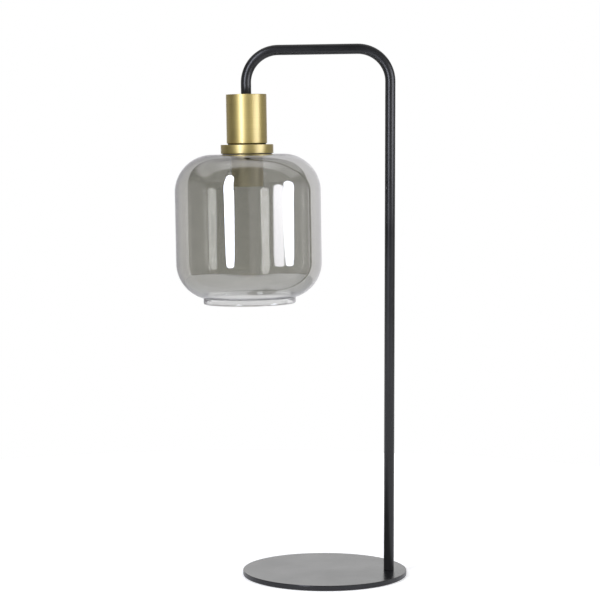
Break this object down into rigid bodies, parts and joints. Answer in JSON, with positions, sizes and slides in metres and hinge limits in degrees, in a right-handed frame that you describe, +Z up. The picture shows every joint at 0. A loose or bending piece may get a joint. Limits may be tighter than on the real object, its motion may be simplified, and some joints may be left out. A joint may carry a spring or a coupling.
{
  "type": "table lamp",
  "caption": "Table lamp with a round base, a bent tube as column and arm, and a smoke glass shade hanging open side down from a brass lampholder cup.",
  "frame": {"origin": "centre of the underside of the round base, on the table", "axes": "+Z up, -X along the arm from the column toward the shade, +Y to the back, where the gland is"},
  "size_m": [0.2872, 0.204, 0.6592],
  "materials": {
    "black_coat": "satin black powder coat",
    "brass": "brushed satin brass",
    "smoke_glass": "clear polished smoke glass with a thin reflective coat",
    "rubber_pad": "matt black rubber sheet",
    "zinc_steel": "zinc plated",
    "black_plastic": "matt black",
    "flex_sheath": "black flex sheath",
    "brown_core": "brown core insulation",
    "blue_core": "blue core insulation",
    "ceramic": "white glazed ceramic",
    "contact_metal": "bright contact brass",
    "spring_steel": "spring steel",
    "silicone": "dark silicone"
  },
  "bodies": {
    "stand": {"base_plate": "black_coat", "base_pad": "rubber_pad", "column_screw": "zinc_steel", "foot_plug": "zinc_steel", "column_tube": "black_coat", "cord_gland": "black_plastic", "inner_flex": "flex_sheath", "live_core": "brown_core", "neutral_core": "blue_core", "end_bush": "zinc_steel", "threaded_nipple": "zinc_steel", "socket_cup": "brass", "lock_washer": "zinc_steel", "lock_nut": "zinc_steel", "gallery_ring": "brass", "holder_cap": "black_plastic", "cap_grub_screw": "zinc_steel", "holder_insert": "ceramic", "screw_shell": "contact_metal", "contact_spring": "spring_steel", "live_strap": "contact_metal", "neutral_strap": "contact_metal", "terminal_blocks": "contact_metal", "terminal_screws": "zinc_steel"},
    "shade": {"glass_shade": "smoke_glass", "upper_gasket": "silicone", "lower_gasket": "silicone"},
    "clamp_sleeve": {"clamp_sleeve": "brass"},
    "contact": {"centre_contact": "contact_metal", "contact_clip": "spring_steel"}
  },
  "joints": [
    {"name": "shade_drop", "type": "slide", "parent": "stand", "child": "shade", "axis": [0.0157, 0, -0.9999], "range_m": [0, 0.006]},
    {"name": "sleeve_turn", "type": "hinge", "parent": "shade", "child": "clamp_sleeve", "pos_m": [-0.09565, 0, 0.50222], "axis": [0.0157, 0, -0.9999], "range_deg": [0, 1440]},
    {"name": "contact_press", "type": "slide", "parent": "stand", "child": "contact", "axis": [-0.0157, 0, 0.9999], "range_m": [0, 0.0025], "stiffness_N_per_m": 1500, "springref_m": -0.001, "deforming": ["contact_spring"]}
  ],
  "couplings": [
    {"joint": "sleeve_turn", "follows": "shade_drop", "rad_per_m": 4188.8}
  ]
}
